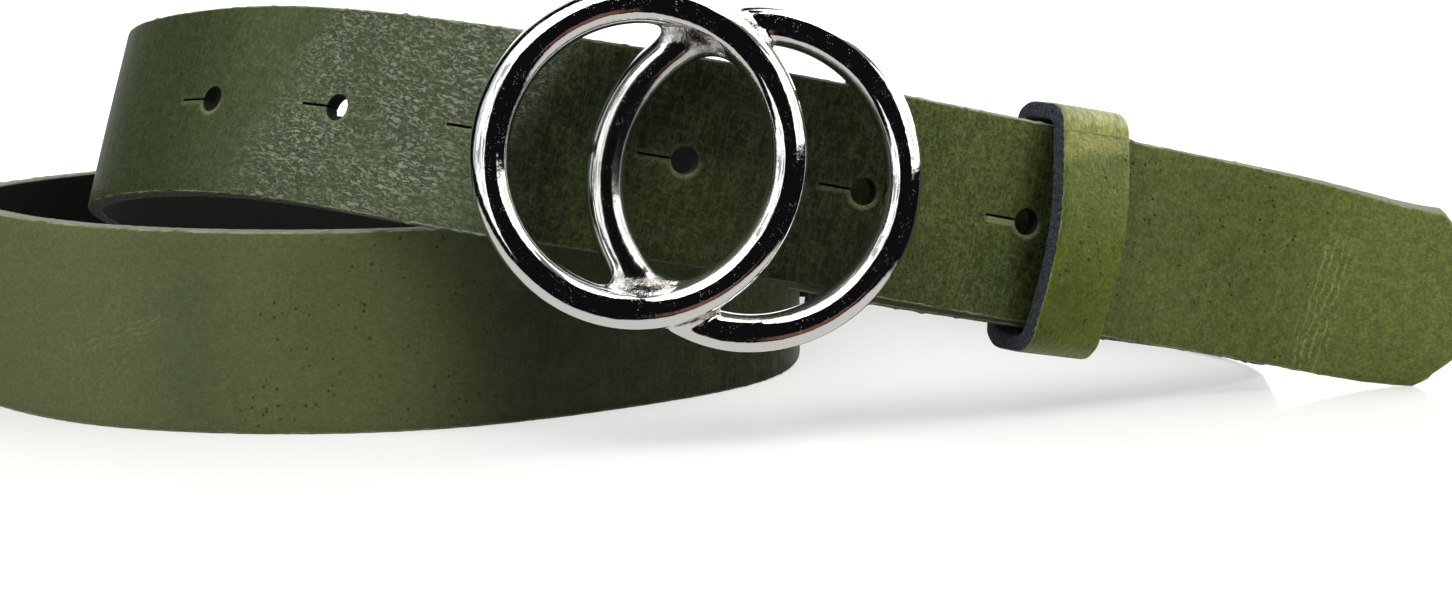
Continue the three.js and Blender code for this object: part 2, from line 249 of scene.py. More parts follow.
def cut_pattern():
    flat = FlatPattern()
    columns = np.linspace(EDGE_ROUND, STRAP_END - EDGE_ROUND, round(STRAP_END / COLUMN))
    clip = STRAP_WIDTH / 2 - TIP_CLIP + columns - math.sqrt(2) * EDGE_ROUND
    half = np.minimum(STRAP_WIDTH / 2 - EDGE_ROUND, clip)
    windows = {}
    for at in holes:
        first = int(np.searchsorted(columns, at - HOLE_RADIUS - HOLE_WINDOW))
        last = int(np.searchsorted(columns, at + SLIT_REACH + HOLE_WINDOW))
        windows[first] = (last, at)
    inside = {}
    for first, (last, at) in windows.items():
        for i in range(first + 1, last):
            inside[i] = at
    top = FACE_ROWS - 1
    index = np.full((len(columns), FACE_ROWS), -1)
    spread = np.linspace(-1, 1, FACE_ROWS)
    for i, s in enumerate(columns):
        for j, t in enumerate(spread):
            edge = j in (0, top)
            if i in inside and not edge and from_keyhole(s, t * half[i], inside[i]) < HOLE_CLEARANCE:
                continue
            index[i, j] = flat.add(s, t * half[i])
    covered = {i for first, (last, at) in windows.items() for i in range(first, last)}
    for i in range(len(columns) - 1):
        if i in covered:
            continue
        for j in range(top):
            flat.faces.append((index[i, j], index[i + 1, j], index[i + 1, j + 1], index[i, j + 1]))
    for first, (last, at) in windows.items():
        fill_window(flat, index[first : last + 1], at)
    n = len(columns)
    loop = [index[i, 0] for i in range(n)]
    loop += [index[n - 1, j] for j in range(1, top)]
    loop += [index[i, top] for i in range(n - 1, -1, -1)]
    loop += [index[0, j] for j in range(top - 1, 0, -1)]
    return flat, loop


def fill_window(flat, index, at):
    """Triangles between a window of the grid and the keyhole in it."""
    n, m = index.shape
    rim = [index[i, 0] for i in range(n)] + [index[n - 1, j] for j in range(1, m)]
    rim += [index[i, m - 1] for i in range(n - 2, -1, -1)] + [index[0, j] for j in range(m - 2, 0, -1)]
    inner = [v for v in index[1:-1, 1:-1].ravel() if v >= 0]
    members = rim + inner
    edges = [(k, (k + 1) % len(rim)) for k in range(len(rim))]
    for grow in RIM_STEPS:
        outline = [flat.add(s, v) for s, v in keyhole(at, grow)]
        start = len(members)
        members += outline
        edges += [(start + k, start + (k + 1) % len(outline)) for k in range(len(outline))]
        if grow == 0:
            flat.hole_loops.append(outline)
    coords = [Vector(flat.points[v]) for v in members]
    verts, _, faces, originals, _, _ = delaunay_2d_cdt(coords, edges, [], 0, 1e-6)
    for face in faces:
        middle = sum((verts[v] for v in face), Vector((0, 0))) / 3
        if from_keyhole(middle.x, middle.y, at) > 0:
            flat.faces.append(tuple(members[originals[v][0]] for v in face))


def cut_edge_profile():
    """Steps round a cut edge from grain to flesh: out from the face's rim, depth, and rawness."""
    quarter = np.linspace(0, math.pi / 2, 5)
    rounding = EDGE_ROUND / (LEATHER / 2)
    out = np.concatenate([np.sin(quarter), [1.0, 1.02, 1.0], np.sin(quarter)[::-1]]) * EDGE_ROUND
    depth = np.concatenate([1 - rounding * (1 - np.cos(quarter)), [0.45, 0, -0.45],
                            -(1 - rounding * (1 - np.cos(quarter)))[::-1]])
    raw = np.concatenate([[0, 0.25, 0.6, 0.9, 1], [1, 1, 1], [1, 1, 1, 1, 1]])
    return list(zip(out, depth, raw))[1:-1]


def mesh_object(name, places, faces, values):
    """A smooth-shaded object in metres, with its named values kept on its points."""
    mesh = bpy.data.meshes.new(name)
    mesh.from_pydata((places * 0.001).tolist(), [], [tuple(int(v) for v in f) for f in faces])
    for label, column in values.items():
        mesh.attributes.new(label, "FLOAT", "POINT").data.foreach_set("value", column.astype(np.float32))
    work = bmesh.new()
    work.from_mesh(mesh)
    bmesh.ops.recalc_face_normals(work, faces=work.faces)
    work.to_mesh(mesh)
    work.free()
    mesh.shade_smooth()
    made = bpy.data.objects.new(name, mesh)
    bpy.context.scene.collection.objects.link(made)
    return made


def fray(s, across, depth):
    """How far the fibres of a cut edge stand out past a clean cut, in millimetres."""
    side = 9.0 if across > 0 else 0.0
    rough = noise.noise((s / 0.9, side, depth * 1.8))
    tuft = max(noise.noise((s / 1.7, side + 4.0, 0.0)) - 0.12, 0)
    return FUZZ * rough + TUFT * tuft * max(depth, 0)


def strap_mesh():
    flat, loop = cut_pattern()
    face = np.array(flat.points)
    count = len(face)
    near_hole = np.min([from_keyhole(face[:, 0], face[:, 1], at) for at in holes], axis=0)
    sunk = PUNCHED_DIP * np.exp(-((near_hole / 0.9) ** 2)) / (LEATHER / 2)
    s = [face[:, 0], face[:, 0]]
    across = [face[:, 1], face[:, 1]]
    depth = [1 - sunk, -np.ones(count)]
    raw = [np.zeros(count), np.zeros(count)]
    flesh = [np.zeros(count), np.ones(count)]
    faces = [f[::-1] for f in flat.faces] + [tuple(v + count for v in f) for f in flat.faces]

    def band(outline, profile, away):
        """Rings of points from a grain outline to the flesh outline below it."""
        ring = np.array(outline)
        layers = [ring]
        start = sum(len(part) for part in s)
        for out, d, r in profile:
            loose = [fray(a, b, d) if out > 0.25 else 0 for a, b in face[ring]]
            place = face[ring] + away * (out + np.array(loose))[:, None]
            s.append(place[:, 0])
            across.append(place[:, 1])
            depth.append(np.full(len(ring), d))
            raw.append(np.full(len(ring), r))
            flesh.append(np.full(len(ring), 1.0 if d < -0.9 else 0.0))
            layers.append(np.arange(start, start + len(ring)))
            start += len(ring)
        layers.append(ring + count)
        for upper, lower in zip(layers, layers[1:]):
            for k in range(len(ring)):
                n = (k + 1) % len(ring)
                faces.append((upper[k], upper[n], lower[n], lower[k]))

    rim = face[loop]
    tangent = unit(unit(np.roll(rim, -1, axis=0) - rim) + unit(rim - np.roll(rim, 1, axis=0)))
    band(loop, cut_edge_profile(), np.stack([tangent[:, 1], -tangent[:, 0]], 1))
    for outline in flat.hole_loops:
        wall = [(0, 0.7, 0.8), (-0.12, 0.3, 1), (-0.19, -0.3, 1), (-0.19, -0.85, 1)]
        cut = face[outline]
        closing = np.where(np.abs(np.abs(cut[:, 1]) - SLIT_HALF) < 1e-6, np.sign(cut[:, 1]), 0)
        band(outline, wall, np.stack([np.zeros_like(closing), closing], 1))
    s, across, depth, raw, flesh = (np.concatenate(part) for part in (s, across, depth, raw, flesh))
    places = strap_point(s, across, depth)
    places[:, 2] = np.maximum(places[:, 2], FLOOR_GAP)
    # painted shadow of the rings on the upper stretch behind them
    ring_shadow = np.zeros(len(places))
    for centre, radius in zip(ring_centres, ring_radii):
        off = places - centre
        aside = np.hypot(off[:, 0] * 1.03, off[:, 2]) - radius - RING_SHADE
        shaded = (np.abs(off[:, 1]) < RING_SHADE_DEPTH) * (s < UPPER_STRETCH)
        ring_shadow = np.maximum(ring_shadow, smooth(0.5 - aside / 5) * shaded)
    used = np.unique([v for f in faces for v in f])
    renumber = np.full(len(places), -1)
    renumber[used] = np.arange(len(used))
    faces = [tuple(renumber[list(f)]) for f in faces]
    hole = np.min([from_keyhole(s, across, at) for at in holes], axis=0)
    values = {"along": s, "across": across, "raw": raw, "flesh": flesh, "painted_ring_shadow": ring_shadow,
              "from_hole": hole}
    return mesh_object("leather_strap", places[used], faces, {k: v[used] for k, v in values.items()})


strap = strap_mesh()


# Node helpers for the leathers and the metal
def add_node(tree, kind, inputs=None, **settings):
    made = tree.nodes.new("ShaderNode" + kind)
    for name, value in settings.items():
        setattr(made, name, value)
    for key, value in (inputs or {}).items():
        if isinstance(value, bpy.types.NodeSocket):
            tree.links.new(value, made.inputs[key])
        else:
            made.inputs[key].default_value = value
    return made


def maths(tree, operation, a, b=0.0, c=0.0):
    return add_node(tree, "Math", {0: a, 1: b, 2: c}, operation=operation).outputs[0]


def times(tree, *values):
    product = values[0]
    for value in values[1:]:
        product = maths(tree, "MULTIPLY", product, value)
    return product


def most(tree, *values):
    highest = values[0]
    for value in values[1:]:
        highest = maths(tree, "MAXIMUM", highest, value)
    return highest


def colours(tree, factor, a, b, way="MIX"):
    return add_node(tree, "Mix", {0: factor, 6: a, 7: b}, data_type="RGBA", blend_type=way).outputs[2]


def step_between(tree, value, low, high, to_low=0.0, to_high=1.0):
    made = add_node(tree, "MapRange", {0: value, 1: low, 2: high, 3: to_low, 4: to_high},
                    interpolation_type="SMOOTHSTEP")
    return made.outputs[0]


def clouds(tree, vector, scale, detail=2.0, roughness=0.5, distortion=0.0):
    made = add_node(tree, "TexNoise", {"Vector": vector, "Scale": scale, "Detail": detail,
                                       "Roughness": roughness, "Distortion": distortion})
    return made.outputs["Fac"]


def value_of(tree, name):
    return add_node(tree, "Attribute", attribute_name=name).outputs["Fac"]


def new_material(name):
    material = bpy.data.materials.new(name)
    material.use_nodes = True
    tree = material.node_tree
    return material, tree, tree.nodes["Principled BSDF"]


def new_group(name, inputs, outputs):
    group = bpy.data.node_groups.new(name, "ShaderNodeTree")
    for label, kind, value in inputs:
        socket = group.interface.new_socket(label, in_out="INPUT", socket_type=kind)
        if value is not None:
            socket.default_value = value
    for label, kind in outputs:
        group.interface.new_socket(label, in_out="OUTPUT", socket_type=kind)
    came = group.nodes.new("NodeGroupInput")
    goes = group.nodes.new("NodeGroupOutput")
    return group, came.outputs, goes.inputs


def use_group(tree, group, inputs):
    made = tree.nodes.new("ShaderNodeGroup")
    made.node_tree = group
    for key, value in inputs.items():
        if isinstance(value, bpy.types.NodeSocket):
            tree.links.new(value, made.inputs[key])
        else:
            made.inputs[key].default_value = value
    return made.outputs


def lines_group():
    """Thin broken lines such as creases, hairs and scratches; they run along Y of Place."""
    group, given, out = new_group(
        "fine_lines",
        [("Place", "NodeSocketVector", None), ("Width", "NodeSocketFloat", 0.12),
         ("Broken", "NodeSocketFloat", 0.45)],
        [("Lines", "NodeSocketFloat")],
    )
    wander = clouds(group, given["Place"], 1.0, 2.0, 0.5, 0.3)
    off = maths(group, "ABSOLUTE", maths(group, "SUBTRACT", wander, 0.5))
    lines = step_between(group, off, times(group, given["Width"], 0.3), given["Width"], 1.0, 0.0)
    wide = maths(group, "ADD", given["Broken"], 0.16)
    gaps = step_between(group, clouds(group, given["Place"], 0.62, 2.0), given["Broken"], wide)
    group.links.new(times(group, lines, gaps), out["Lines"])
    return group


def grain_group():
    """Wrinkled grain, pores and uneven dye of full-grain leather; Place is in millimetres."""
    group, given, out = new_group(
        "leather_grain",
        [("Place", "NodeSocketVector", None), ("Wrinkle Size", "NodeSocketFloat", 0.45),
         ("Pore Size", "NodeSocketFloat", 0.16)],
        [("Height", "NodeSocketFloat"), ("Pores", "NodeSocketFloat"), ("Clouds", "NodeSocketFloat"),
         ("Speckle", "NodeSocketFloat")],
    )
    link = group.links.new
    per_size = maths(group, "DIVIDE", 1.0, given["Wrinkle Size"])
    wrinkles = clouds(group, given["Place"], per_size, 3.0, 0.6, 0.9)
    swell = clouds(group, given["Place"], 0.28, 2.0, 0.5)
    dots = add_node(group, "TexVoronoi", {"Vector": given["Place"], "Scale": 0.62})
    patches = clouds(group, given["Place"], 0.12, 2.0)
    size = times(group, given["Pore Size"], step_between(group, patches, 0.42, 0.56, 0.2, 1.0))
    pores = step_between(group, dots.outputs["Distance"], times(group, size, 0.4), size, 1.0, 0.0)
    height = maths(group, "MULTIPLY_ADD", swell, 1.5, wrinkles)
    link(maths(group, "MULTIPLY_ADD", pores, -0.9, height), out["Height"])
    link(pores, out["Pores"])
    link(clouds(group, given["Place"], 0.05, 3.0, 0.6), out["Clouds"])
    link(clouds(group, given["Place"], 1.5, 3.0, 0.85, 0.6), out["Speckle"])
    return group


def raw_edge_group():
    """Where a cut edge's fibres show instead of the grain, with a ragged border; Place is in millimetres."""
    group, given, out = new_group(
        "raw_edge",
        [("Place", "NodeSocketVector", None), ("Rawness", "NodeSocketFloat", 0.0)],
        [("Mask", "NodeSocketFloat"), ("Fibres", "NodeSocketFloat"), ("Frayed", "NodeSocketFloat")],
    )
    ragged = clouds(group, given["Place"], 0.9, 3.0, 0.7)
    shifted = maths(group, "MULTIPLY_ADD", ragged, 0.9, maths(group, "SUBTRACT", given["Rawness"], 0.45))
    group.links.new(step_between(group, shifted, 0.5, 0.66), out["Mask"])
    fibres = clouds(group, given["Place"], 2.2, 4.0, 0.75, 1.5)
    group.links.new(step_between(group, fibres, 0.38, 0.66), out["Fibres"])
    patches = clouds(group, given["Place"], 0.3, 2.0)
    frayed = times(group, step_between(group, shifted, 0.12, 0.4), step_between(group, patches, 0.3, 0.6))
    group.links.new(frayed, out["Frayed"])
    return group


leather_grain = grain_group()
raw_edge = raw_edge_group()
fine_lines = lines_group()


def flat_place(tree):
    """Place on the leather in millimetres: along it, and across it."""
    return add_node(tree, "CombineXYZ", {0: value_of(tree, "along"), 1: value_of(tree, "across")}).outputs[0]


def solid_place(tree):
    """Place in the piece in millimetres."""
    place = add_node(tree, "TexCoord").outputs["Object"]
    return add_node(tree, "VectorMath", {0: place, "Scale": 1000.0}, operation="SCALE").outputs[0]


def lines_on(tree, flat, spacing, length, turned, width, broken):
    """Fine lines a spacing apart; turned 0 they run across the leather, 90 along it."""
    placed = add_node(tree, "Mapping", {"Vector": flat, "Rotation": (0, 0, math.radians(turned)),
                                        "Scale": (spacing, length, 1)}, vector_type="TEXTURE")
    made = use_group(tree, fine_lines, {"Place": placed.outputs[0], "Width": width, "Broken": broken})
    return made["Lines"]


def ruled_lines(tree, over, on, spacing, half_width, broken):
    """Broken, wandering lines a spacing apart, counted by one value and running with the other."""
    coarse = add_node(tree, "CombineXYZ", {0: times(tree, over, 0.12),
                                           1: times(tree, on, 0.22)}).outputs[0]
    moved = maths(tree, "MULTIPLY_ADD", clouds(tree, coarse, 1.0, 3.0, 0.6), spacing * 1.8, over)
    off = maths(tree, "PINGPONG", moved, spacing / 2)
    lines = step_between(tree, off, half_width * 0.3, half_width, 1.0, 0.0)
    fine = add_node(tree, "CombineXYZ", {0: maths(tree, "DIVIDE", over, spacing),
                                         1: times(tree, on, 0.35)}).outputs[0]
    gaps = step_between(tree, clouds(tree, fine, 1.0, 2.0), broken, broken + 0.12)
    return times(tree, lines, gaps)


def window(tree, value, start, end, soft):
    """1 between start and end, falling to 0 over the soft stretch outside them."""
    rise = step_between(tree, value, start - soft, start)
    return times(tree, rise, step_between(tree, value, end, end + soft, 1.0, 0.0))


GREEN_DARK = (0.045, 0.068, 0.010, 1)
GREEN_LIGHT = (0.075, 0.099, 0.016, 1)
TIP_GREEN = (0.172, 0.208, 0.042, 1)
DEEP_GREEN = (0.020, 0.033, 0.006, 1)
GREY_GREEN = (0.050, 0.074, 0.038, 1)
PAINTED_LIGHT_GREEN = (0.155, 0.178, 0.060, 1)
PULLED_UP = (0.20, 0.24, 0.10, 1)
CREASED = (0.26, 0.30, 0.10, 1)
# grey of a painted sheen, the haze of a soft highlight
PAINTED_SHEEN = (0.120, 0.140, 0.080, 1)
# pale of worn wrinkle crests, partly a painted highlight
WRINKLE_PALE_AND_HIGHLIGHT = (0.30, 0.34, 0.26, 1)
# colour of the painted shade and shadows on the strap
PAINTED_SHADE_GREEN = (0.0075, 0.0135, 0.0014, 1)
PORE_DARK = (0.010, 0.013, 0.005, 1)
FLESH_BLACK = (0.006, 0.0065, 0.0065, 1)
RAW_DARK = (0.035, 0.040, 0.037, 1)
RAW_LIGHT = (0.26, 0.275, 0.25, 1)
FRAYED_LIGHT = (0.34, 0.36, 0.22, 1)
# painted highlight on the cut edges along the top and round the tip
TOP_EDGE_HIGHLIGHT = (0.38, 0.39, 0.31, 1)
HOLE_WALL_SHADE = (0.010, 0.013, 0.008, 1)
# Stretches in millimetres from the tip, and bands in millimetres up from the middle of the width:
# start, end, and how far the border fades beyond them
GREYER_STRETCH = (192, 330, 14)
LEFT_BEND = (268, 330, 30)
WEAR_AND_SHEEN_STRETCH = (196, 228, 14)
WEAR_AND_SHEEN_LEAN = 0.45
CREASED_STRETCH = (28, 32, 2.5)
CREASED_BAND = (-17, 4, 9)
SCRATCHED_STRETCH = (651, 664, 1.5)
SCRATCHED_BAND = (-1.4, 1.4, 0.8)
SCRATCHED_RISE = 0.29
SCRATCHED_START = 189.6
SCRATCH_ALONG = 0.91
SCRATCH_UP = 0.42
PAINTED_LIGHT_STRETCHES = ((606, 632, 16), (668, 700, 30))
# stretches where shade is painted: the turn on the floor below the buckle, and low past the first hole
FLOOR_TURN_SHADE = (430, 580, 38)
SHADE_PAST_FIRST_HOLE = (97, 128, 6)
LENS_STRETCH = (150, 172, 9)
LENS_BAND = (-15, -3, 6)
PORED_STRETCH = (598, 630, 12)
PORED_TIP = (38, 76, 10)
SLIT_LIP_STRETCH = (96.5, 101.5, 0.8)
SLIT_LIP_BAND = (-1.1, -0.25, 0.35)
# Borders in millimetres from the tip, and one up from the middle of the width: where a change starts
# and where it is complete
HIGHLIGHT_EDGE_BAND = (12, 17)
TIP_DARKENS = (14, 60)
PALE_TIP_ENDS = (74, 88)
EDGE_HIGHLIGHT_ENDS = (66, 78)
CALM_TIP_ENDS = (76, 90)
CALM_LEFT_STARTS = (180, 215)
KEEPER_SHADE_STARTS = (86, 90)
KEEPER_SHADE_ENDS = (91, 98.5)
OUTER_TURN_STARTS = (500, 600)


def wear_and_sheen_stretch(tree, flat, along, across):
    """Where the leather left of the buckle is worn paler and a painted sheen lies on it, slanting over the
    strap, and the wrinkles there, whose crests carry a painted highlight.
    """
    leaning = maths(tree, "MULTIPLY_ADD", across, WEAR_AND_SHEEN_LEAN, along)
    blots = step_between(tree, clouds(tree, flat, 0.09, 4.0, 0.7), 0.36, 0.60, 0.42, 1.0)
    wear_and_sheen = times(tree, window(tree, leaning, *WEAR_AND_SHEEN_STRETCH), blots)
    placed = add_node(tree, "Mapping", {"Vector": flat, "Rotation": (0, 0, 0.12), "Scale": (1.5, 0.55, 1)},
                      vector_type="TEXTURE").outputs[0]
    wrinkles = step_between(tree, clouds(tree, placed, 1.0, 2.0, 0.6, 1.3), 0.46, 0.58)
    return wear_and_sheen, times(tree, wear_and_sheen, wrinkles)


def tip_creases(tree, along, across):
    """Broken creases across the strap near its tip."""
    creased = times(tree, window(tree, along, *CREASED_STRETCH), window(tree, across, *CREASED_BAND))
    return times(tree, creased, ruled_lines(tree, along, across, 1.4, 0.32, 0.36))


def turn_scratches(tree, along, across):
    """Short scratches in a slanting band on the outer turn."""
    above_start = maths(tree, "SUBTRACT", across, SCRATCHED_START)
    from_band = maths(tree, "MULTIPLY_ADD", along, SCRATCHED_RISE, above_start)
    scratched = times(tree, window(tree, along, *SCRATCHED_STRETCH),
                      window(tree, from_band, *SCRATCHED_BAND))
    over = maths(tree, "MULTIPLY_ADD", along, SCRATCH_UP, times(tree, across, SCRATCH_ALONG))
    on = maths(tree, "MULTIPLY_ADD", along, -SCRATCH_ALONG, times(tree, across, SCRATCH_UP))
    return times(tree, scratched, ruled_lines(tree, over, on, 1.1, 0.24, 0.42))


def painted_shade(tree, along, across):
    """Where shade is painted as darker leather: the rings' shadow behind them, shade on the outer turn below
    them and low past the first hole, and the keeper's shadow beside it.
    """
    # the painted ring shadow is a little lighter low in the lens that both rings frame
    in_lens = times(tree, window(tree, along, *LENS_STRETCH), window(tree, across, *LENS_BAND))
    behind_rings = times(tree, value_of(tree, "painted_ring_shadow"),
                         maths(tree, "MULTIPLY_ADD", in_lens, -0.3, 1.0))
    # painted shade on the turn on the floor below the buckle
    on_floor = times(tree, window(tree, along, *FLOOR_TURN_SHADE), 0.96)
    # painted shade, darker toward the bottom edge, past the first hole
    shade_past_hole = times(tree, window(tree, along, *SHADE_PAST_FIRST_HOLE),
                      step_between(tree, across, 0.0, -15.0, 0.0, 0.28))
    # painted shadow of the keeper beside it
    by_keeper = times(tree, step_between(tree, along, *KEEPER_SHADE_ENDS, 0.95, 0.0),
                      step_between(tree, along, *KEEPER_SHADE_STARTS))
    return most(tree, behind_rings, on_floor, shade_past_hole, by_keeper)


def pale_hairs(tree, flat, painted_dark, outer, greyer):
    """Hairs of paler dye across the strap, and fewer in other directions."""
    hairs = most(tree, lines_on(tree, flat, 0.55, 5.0, 4.0, 0.10, 0.40),
                 lines_on(tree, flat, 0.7, 2.2, 38.0, 0.10, 0.50),
                 lines_on(tree, flat, 0.6, 1.8, 104.0, 0.12, 0.46))
    return times(tree, hairs, step_between(tree, painted_dark, 0.3, 0.9, 0.20, 0.13),
                 step_between(tree, outer, 0.0, 1.0, 1.0, 0.35),
                 step_between(tree, greyer, 0.0, 0.5, 1.0, 0.4))


def pale_rims_and_highlights(tree, from_hole, along, across, speckle):
    """Paler rims below the keyholes and on the lower lip of the first slit: partly stretched leather, partly
    a painted highlight where light catches the lower lips.
    """
    rim = times(tree, step_between(tree, from_hole, 0.3, 1.1, 1.0, 0.0),
                step_between(tree, across, -2.6, 1.0, 0.85, 0.1),
                step_between(tree, speckle, 0.4, 0.55, 0.4, 1.0))
    lip = times(tree, window(tree, along, *SLIT_LIP_STRETCH), window(tree, across, *SLIT_LIP_BAND))
    return most(tree, rim, times(tree, lip, 0.85))


def uneven(tree, colour, grain, flat, along, outer):
    """Fine speckle and soft lumps, calmer on the tip, left of the buckle and on the outer turn."""
    shade = step_between(tree, grain["Speckle"], 0.34, 0.66, 0.52, 1.52)
    calm = times(tree, step_between(tree, along, *CALM_LEFT_STARTS, 1.0, 0.62),
                 step_between(tree, along, *CALM_TIP_ENDS, 0.6, 1.0))
    calm = maths(tree, "MINIMUM", calm, step_between(tree, outer, 0.0, 1.0, 1.0, 0.34))
    colour = colours(tree, calm, colour, shade, "MULTIPLY")
    lumps = step_between(tree, clouds(tree, flat, 0.55, 3.0, 0.6, 0.5), 0.36, 0.64, 0.86, 1.14)
    return colours(tree, step_between(tree, outer, 0.0, 1.0, 1.0, 0.3), colour, lumps, "MULTIPLY")


def cut_fibres(tree, edge, along, across, painted_dark):
    """Colour of the cut edges: a painted highlight along the top and round the tip, and painted shade under
    the buckle.
    """
    pale = most(tree, step_between(tree, across, *HIGHLIGHT_EDGE_BAND, 0.0, 0.75),
                step_between(tree, along, *EDGE_HIGHLIGHT_ENDS, 0.45, 0.0))
    fibres = colours(tree, edge["Fibres"], RAW_DARK, RAW_LIGHT)
    fibres = colours(tree, pale, fibres, TOP_EDGE_HIGHLIGHT)
    return colours(tree, times(tree, painted_dark, 0.7), fibres, RAW_DARK)


def strap_material():
    material, tree, shader = new_material("moss_green_leather")
    flat = flat_place(tree)
    along, across = value_of(tree, "along"), value_of(tree, "across")
    from_hole, flesh = value_of(tree, "from_hole"), value_of(tree, "flesh")
    pored = most(tree, window(tree, along, *PORED_STRETCH),
                 times(tree, window(tree, along, *PORED_TIP), 0.8))
    pore_size = step_between(tree, pored, 0.0, 1.0, 0.10, 0.25)
    grain = use_group(tree, leather_grain, {"Place": flat, "Pore Size": pore_size})
    edge = use_group(tree, raw_edge, {"Place": solid_place(tree), "Rawness": value_of(tree, "raw")})
    tip = times(tree, step_between(tree, along, *PALE_TIP_ENDS, 1.0, 0.0),
                step_between(tree, along, *TIP_DARKENS, 0.95, 0.35))
    greyer = times(tree, window(tree, along, *GREYER_STRETCH), 0.5)
    wear_and_sheen, wrinkles = wear_and_sheen_stretch(tree, flat, along, across)
    creases = tip_creases(tree, along, across)
    scratches = turn_scratches(tree, along, across)
    outer = step_between(tree, along, *OUTER_TURN_STARTS)
    # painted light on two stretches of the outer turn on the floor
    painted_light = most(tree, *(window(tree, along, *stretch) for stretch in PAINTED_LIGHT_STRETCHES))
    painted_dark = painted_shade(tree, along, across)
    mottled = step_between(tree, clouds(tree, flat, 0.16, 3.0, 0.6), 0.45, 0.75, 0.96, 0.78)
    colour = colours(tree, step_between(tree, grain["Clouds"], 0.3, 0.7), GREEN_DARK, GREEN_LIGHT)
    for mask, strength, shade in (
        (tip, 1.0, TIP_GREEN),
        (greyer, 1.0, GREY_GREEN),
        # painted shade darkens the left bend
        (window(tree, along, *LEFT_BEND), 0.85, DEEP_GREEN),
        # painted sheen over the worn stretch
        (wear_and_sheen, 0.28, PAINTED_SHEEN),
        (creases, 0.9, CREASED),
        (scratches, 0.75, PULLED_UP),
        # painted sheen on the outer turn
        (outer, 0.38, PAINTED_SHEEN),
        (painted_light, 0.38, PAINTED_LIGHT_GREEN),
        # painted shade and shadows, unevenly strong
        (painted_dark, mottled, PAINTED_SHADE_GREEN),
        (pale_hairs(tree, flat, painted_dark, outer, greyer), 1.0, PULLED_UP),
        (maths(tree, "SUBTRACT", wear_and_sheen, wrinkles), 0.42, DEEP_GREEN),
        # wrinkle crests, pale from wear and painted with highlights
        (wrinkles, 0.62, WRINKLE_PALE_AND_HIGHLIGHT),
    ):
        colour = colours(tree, times(tree, mask, strength), colour, shade)
    colour = uneven(tree, colour, grain, flat, along, outer)
    # frayed fibres are dimmed where shade is painted
    frayed_shows = step_between(tree, painted_dark, 0.2, 0.8, 0.95, 0.25)
    for mask, shade in (
        (times(tree, grain["Pores"], 0.75), PORE_DARK),
        (pale_rims_and_highlights(tree, from_hole, along, across, grain["Speckle"]), PULLED_UP),
        (times(tree, edge["Frayed"], frayed_shows), FRAYED_LIGHT),
        (edge["Mask"], cut_fibres(tree, edge, along, across, painted_dark)),
        # the walls of the keyholes painted dark as shade
        (step_between(tree, from_hole, 0.01, 0.05, 1.0, 0.0), HOLE_WALL_SHADE),
        (flesh, FLESH_BLACK),
    ):
        colour = colours(tree, mask, colour, shade)
    tree.links.new(colour, shader.inputs["Base Color"])
    bare = most(tree, edge["Mask"], flesh)
    tree.links.new(step_between(tree, bare, 0.0, 1.0, 0.45, 0.95), shader.inputs["Roughness"])
    folds = maths(tree, "MULTIPLY_ADD", wrinkles, 1.6, grain["Height"])
    height = add_node(tree, "Mix", {0: bare, 2: folds, 3: edge["Fibres"]}, data_type="FLOAT").outputs[0]
    bump = add_node(tree, "Bump", {"Strength": 1.0, "Distance": 0.00012, "Height": height})
    tree.links.new(bump.outputs[0], shader.inputs["Normal"])
    shader.inputs["Specular IOR Level"].default_value = 0.26
    return material


strap.data.materials.append(strap_material())
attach(strap, "root")
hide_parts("strap")


# Keeper: a band of the same leather, joined to a loop behind the strap and slid over both layers. Its
# raw edges are dyed slate and stand fuzzy, and its grain is a yellower green.
KEEPER_AT = 84.9
KEEPER_TILT = math.radians(-2.2)
KEEPER_WIDTH = 14.6
KEEPER_LEATHER = 3
KEEPER_TOP = STRAP_WIDTH / 2 + 1.1
KEEPER_BOTTOM = -STRAP_WIDTH / 2 - 1.9
KEEPER_FRONT = -LEATHER / 2 - 0.7
KEEPER_BACK = 7.5
KEEPER_CORNER = 2.0
KEEPER_BULGE = 2.9
KEEPER_ROUND = 0.5
KEEPER_CUT_SLANT = 0.4
KEEPER_FUZZ = 0.22
LOOP_POINTS = 420


def keeper_loop():
    """Inner outline of the loop as inward and up, closed, evenly spaced, with outward directions."""
    corners = (
        (KEEPER_FRONT, KEEPER_TOP, 1, -1, 180),
        (KEEPER_BACK, KEEPER_TOP, -1, -1, 90),
        (KEEPER_BACK, KEEPER_BOTTOM, -1, 1, 0),
        (KEEPER_FRONT, KEEPER_BOTTOM, 1, 1, -90),
    )
    points = []
    for inward, up, sign_in, sign_up, start in corners:
        for turned in np.linspace(0, 90, 13):
            a = math.radians(start - turned)
            points.append((inward + KEEPER_CORNER * (sign_in + math.cos(a)),
                           up + KEEPER_CORNER * (sign_up + math.sin(a))))
    for f in np.linspace(0, 1, 41)[1:-1]:
        low, high = KEEPER_BOTTOM + KEEPER_CORNER, KEEPER_TOP - KEEPER_CORNER
        points.append((KEEPER_FRONT - KEEPER_BULGE * math.sin(math.pi * f), low + (high - low) * f))
    outline = np.array(points)
    closed = np.vstack([outline, outline[:1]])
    far = np.concatenate([[0], np.cumsum(np.linalg.norm(np.diff(closed, axis=0), axis=1))])
    even = np.linspace(0, far[-1], LOOP_POINTS, endpoint=False)
    loop = np.stack([np.interp(even, far, closed[:, k]) for k in (0, 1)], 1)
    for _ in range(6):
        loop = (np.roll(loop, 1, axis=0) + loop * 2 + np.roll(loop, -1, axis=0)) / 4
    tangent = unit(np.roll(loop, -1, axis=0) - np.roll(loop, 1, axis=0))
    return loop, np.stack([-tangent[:, 1], tangent[:, 0]], 1), even


